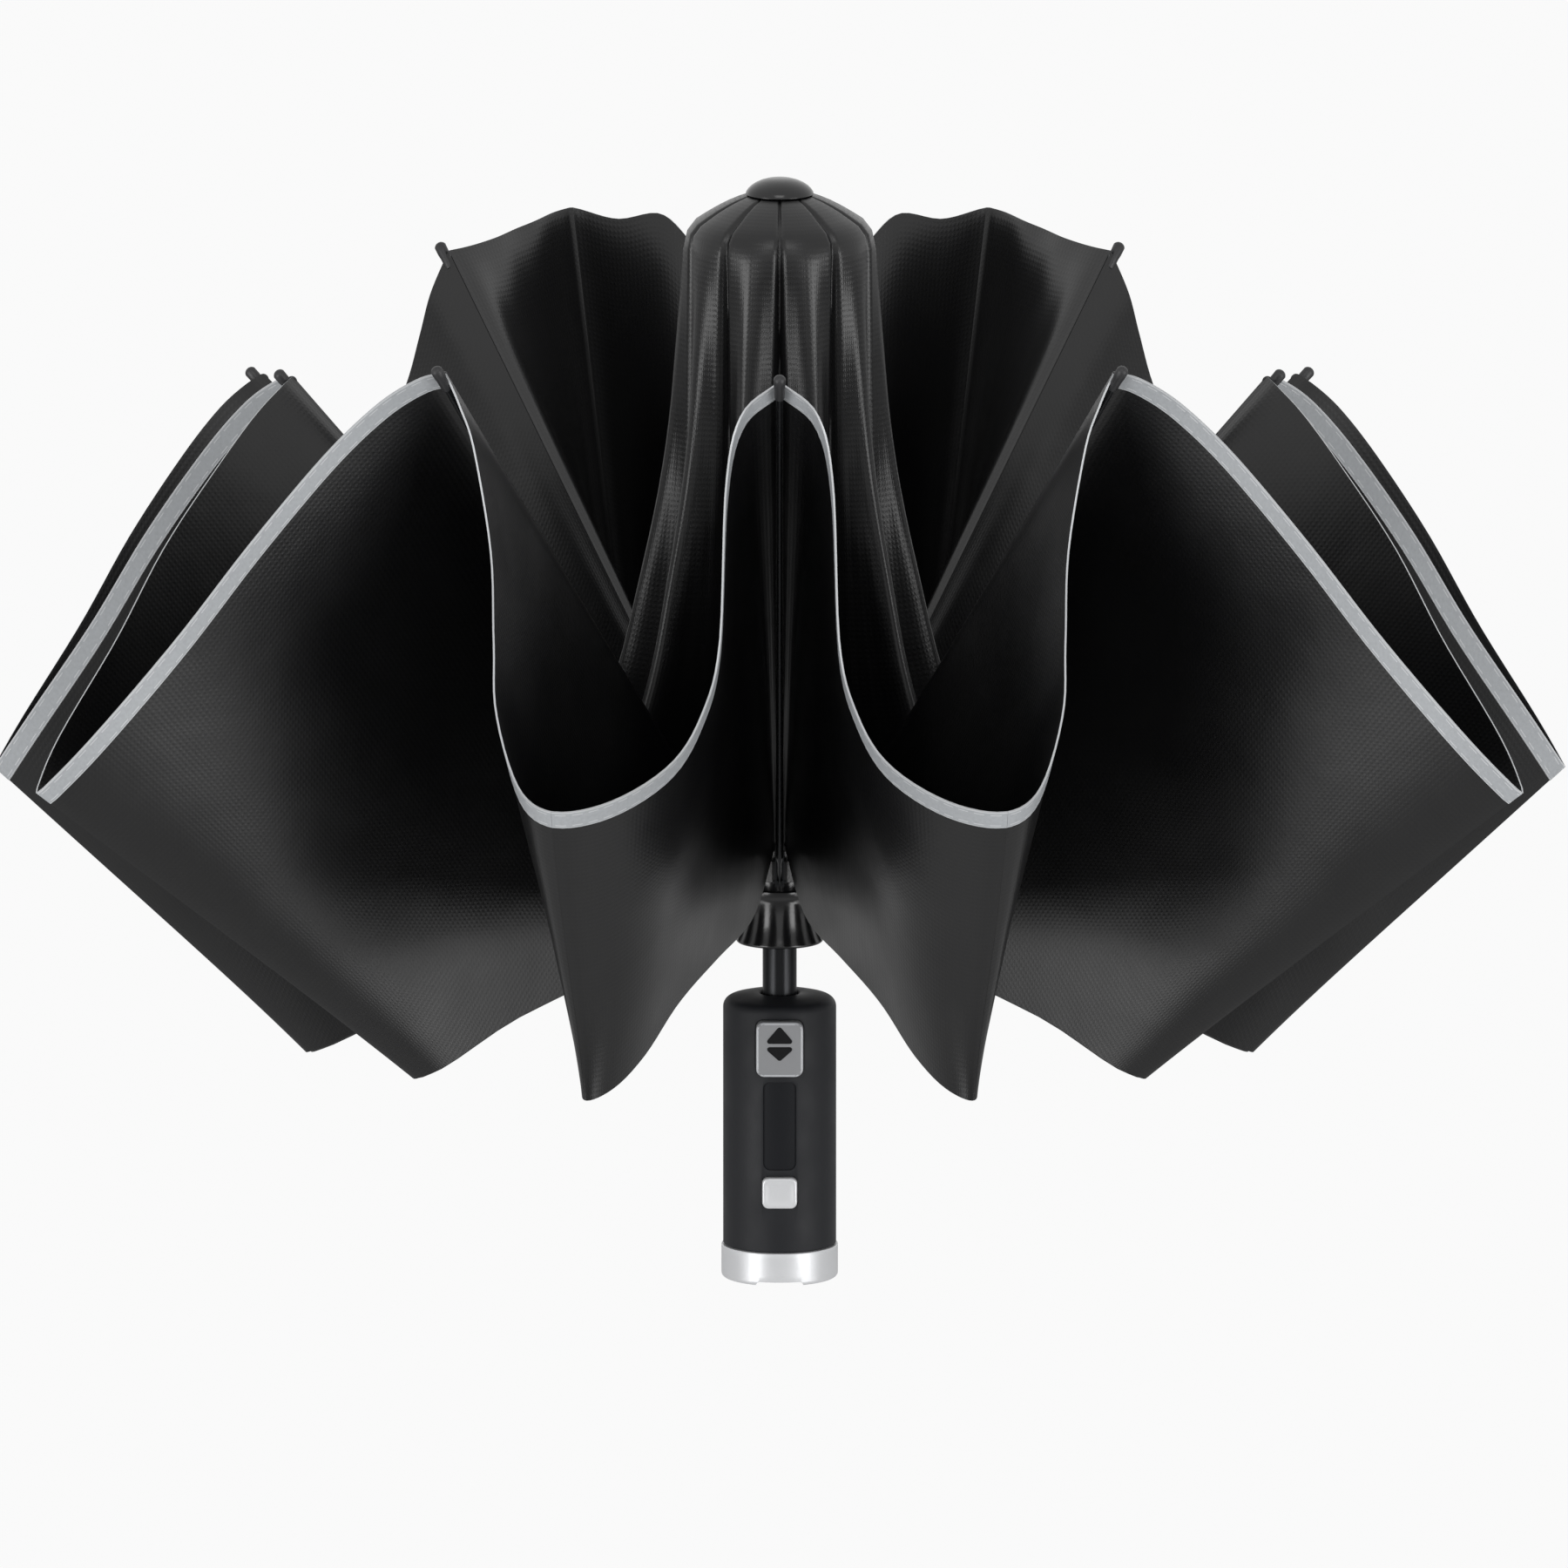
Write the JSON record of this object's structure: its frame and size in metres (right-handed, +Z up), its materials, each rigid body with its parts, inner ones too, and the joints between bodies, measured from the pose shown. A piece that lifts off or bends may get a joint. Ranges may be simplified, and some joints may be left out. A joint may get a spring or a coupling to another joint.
{
  "type": "inverted umbrella",
  "caption": "Compact reverse-folding umbrella with a torch in its handle, its black canopy turned up like a cup round the shaft, closed but not wrapped.",
  "frame": {"origin": "on the shaft's axis at the base of the handle, where the hand's hold begins", "axes": "+X to the viewer's right, -Y towards the viewer and the buttons, +Z up the shaft to the crown"},
  "size_m": [0.4526, 0.3898, 0.3206],
  "materials": {
    "soft_touch_grip": "soft-touch coating, matte charcoal",
    "silver_paint": "satin silver paint on moulded plastic",
    "grey_button": "fine satin, mid grey",
    "clear_lens": "clear moulded lens",
    "mirror_coat": "vacuum-plated reflector",
    "circuit_board": "green solder resist",
    "dark_plastic": "moulded, dark",
    "battery_jacket": "shrink film over four cells",
    "spring_steel": "drawn spring wire",
    "coated_steel": "black coated steel, semi-gloss",
    "gloss_black": "glossy black moulding",
    "black_polyester": "woven polyester with a water-repellent finish"
  },
  "bodies": {
    "handle": {"grip_shell": "soft_touch_grip", "torch_reflector": "mirror_coat", "led_board": "circuit_board", "battery": "battery_jacket", "battery_holder": "dark_plastic", "torch_switch": "circuit_board", "main_button_spring": "spring_steel", "shaft_socket": "dark_plastic", "outer_tube": "coated_steel"},
    "base_cap": {"torch_bezel": "silver_paint", "torch_lens": "clear_lens"},
    "open_button": {"main_button": "grey_button"},
    "torch_push": {"torch_button": "silver_paint"},
    "middle_shaft": {"middle_tube": "coated_steel"},
    "head": {"inner_tube": "coated_steel", "crown_wheel": "gloss_black", "crown_cap": "gloss_black", "runner": "gloss_black", "runner_bell": "gloss_black", "canopy_panel_00": "black_polyester", "canopy_panel_01": "black_polyester", "canopy_panel_02": "black_polyester", "canopy_panel_03": "black_polyester", "canopy_panel_04": "black_polyester", "canopy_panel_05": "black_polyester", "canopy_panel_06": "black_polyester", "canopy_panel_07": "black_polyester", "canopy_panel_08": "black_polyester", "canopy_panel_09": "black_polyester", "inner_rib_00": "coated_steel", "inner_rib_01": "coated_steel", "inner_rib_02": "coated_steel", "inner_rib_03": "coated_steel", "inner_rib_04": "coated_steel", "inner_rib_05": "coated_steel", "inner_rib_06": "coated_steel", "inner_rib_07": "coated_steel", "inner_rib_08": "coated_steel", "inner_rib_09": "coated_steel", "stretcher_00": "coated_steel", "stretcher_01": "coated_steel", "stretcher_02": "coated_steel", "stretcher_03": "coated_steel", "stretcher_04": "coated_steel", "stretcher_05": "coated_steel", "stretcher_06": "coated_steel", "stretcher_07": "coated_steel", "stretcher_08": "coated_steel", "stretcher_09": "coated_steel"},
    "rib_00": {"outer_rib_00": "coated_steel"},
    "rib_01": {"outer_rib_01": "coated_steel"},
    "rib_02": {"outer_rib_02": "coated_steel"},
    "rib_03": {"outer_rib_03": "coated_steel"},
    "rib_04": {"outer_rib_04": "coated_steel"},
    "rib_05": {"outer_rib_05": "coated_steel"},
    "rib_06": {"outer_rib_06": "coated_steel"},
    "rib_07": {"outer_rib_07": "coated_steel"},
    "rib_08": {"outer_rib_08": "coated_steel"},
    "rib_09": {"outer_rib_09": "coated_steel"}
  },
  "joints": [
    {"name": "base_cap_turn", "type": "hinge", "parent": "handle", "child": "base_cap", "pos_m": [0, 0, 0], "axis": [0, 0, 1], "range_deg": [0, 60]},
    {"name": "open_button_push", "type": "slide", "parent": "handle", "child": "open_button", "axis": [0, 1, 0], "range_m": [0, 0.0022], "stiffness_N_per_m": 400, "deforming": ["main_button_spring"]},
    {"name": "torch_button_push", "type": "slide", "parent": "handle", "child": "torch_push", "axis": [0, 1, 0], "range_m": [0, 0.001], "stiffness_N_per_m": 600},
    {"name": "head_slide", "type": "slide", "parent": "handle", "child": "head", "axis": [0, 0, 1], "range_m": [0, 0.26]},
    {"name": "middle_tube_slide", "type": "slide", "parent": "handle", "child": "middle_shaft", "axis": [0, 0, 1], "range_m": [0, 0.13]},
    {"name": "rib_swing_00", "type": "hinge", "parent": "head", "child": "rib_00", "pos_m": [0, -0.024, 0.12], "axis": [1, 0, 0], "range_deg": [-14, 10], "deforming": ["canopy_panel_00"]},
    {"name": "rib_swing_01", "type": "hinge", "parent": "head", "child": "rib_01", "pos_m": [0.01411, -0.01942, 0.12], "axis": [0.809, 0.5878, 0], "range_deg": [-14, 10], "deforming": ["canopy_panel_01"]},
    {"name": "rib_swing_02", "type": "hinge", "parent": "head", "child": "rib_02", "pos_m": [0.02283, -0.00742, 0.12], "axis": [0.309, 0.9511, 0], "range_deg": [-14, 10], "deforming": ["canopy_panel_02"]},
    {"name": "rib_swing_03", "type": "hinge", "parent": "head", "child": "rib_03", "pos_m": [0.02283, 0.00742, 0.12], "axis": [-0.309, 0.9511, 0], "range_deg": [-14, 10], "deforming": ["canopy_panel_03"]},
    {"name": "rib_swing_04", "type": "hinge", "parent": "head", "child": "rib_04", "pos_m": [0.01411, 0.01942, 0.12], "axis": [-0.809, 0.5878, 0], "range_deg": [-14, 10], "deforming": ["canopy_panel_04"]},
    {"name": "rib_swing_05", "type": "hinge", "parent": "head", "child": "rib_05", "pos_m": [0, 0.024, 0.12], "axis": [-1, 0, 0], "range_deg": [-14, 10], "deforming": ["canopy_panel_05"]},
    {"name": "rib_swing_06", "type": "hinge", "parent": "head", "child": "rib_06", "pos_m": [-0.01411, 0.01942, 0.12], "axis": [-0.809, -0.5878, 0], "range_deg": [-14, 10], "deforming": ["canopy_panel_06"]},
    {"name": "rib_swing_07", "type": "hinge", "parent": "head", "child": "rib_07", "pos_m": [-0.02283, 0.00742, 0.12], "axis": [-0.309, -0.9511, 0], "range_deg": [-14, 10], "deforming": ["canopy_panel_07"]},
    {"name": "rib_swing_08", "type": "hinge", "parent": "head", "child": "rib_08", "pos_m": [-0.02283, -0.00742, 0.12], "axis": [0.309, -0.9511, 0], "range_deg": [-14, 10], "deforming": ["canopy_panel_08"]},
    {"name": "rib_swing_09", "type": "hinge", "parent": "head", "child": "rib_09", "pos_m": [-0.01411, -0.01942, 0.12], "axis": [0.809, -0.5878, 0], "range_deg": [-14, 10], "deforming": ["canopy_panel_09"]}
  ],
  "couplings": [
    {"joint": "middle_tube_slide", "follows": "head_slide", "ratio": 0.5},
    {"joint": "rib_swing_01", "follows": "rib_swing_00", "ratio": 1},
    {"joint": "rib_swing_02", "follows": "rib_swing_00", "ratio": 1},
    {"joint": "rib_swing_03", "follows": "rib_swing_00", "ratio": 1},
    {"joint": "rib_swing_04", "follows": "rib_swing_00", "ratio": 1},
    {"joint": "rib_swing_05", "follows": "rib_swing_00", "ratio": 1},
    {"joint": "rib_swing_06", "follows": "rib_swing_00", "ratio": 1},
    {"joint": "rib_swing_07", "follows": "rib_swing_00", "ratio": 1},
    {"joint": "rib_swing_08", "follows": "rib_swing_00", "ratio": 1},
    {"joint": "rib_swing_09", "follows": "rib_swing_00", "ratio": 1}
  ]
}
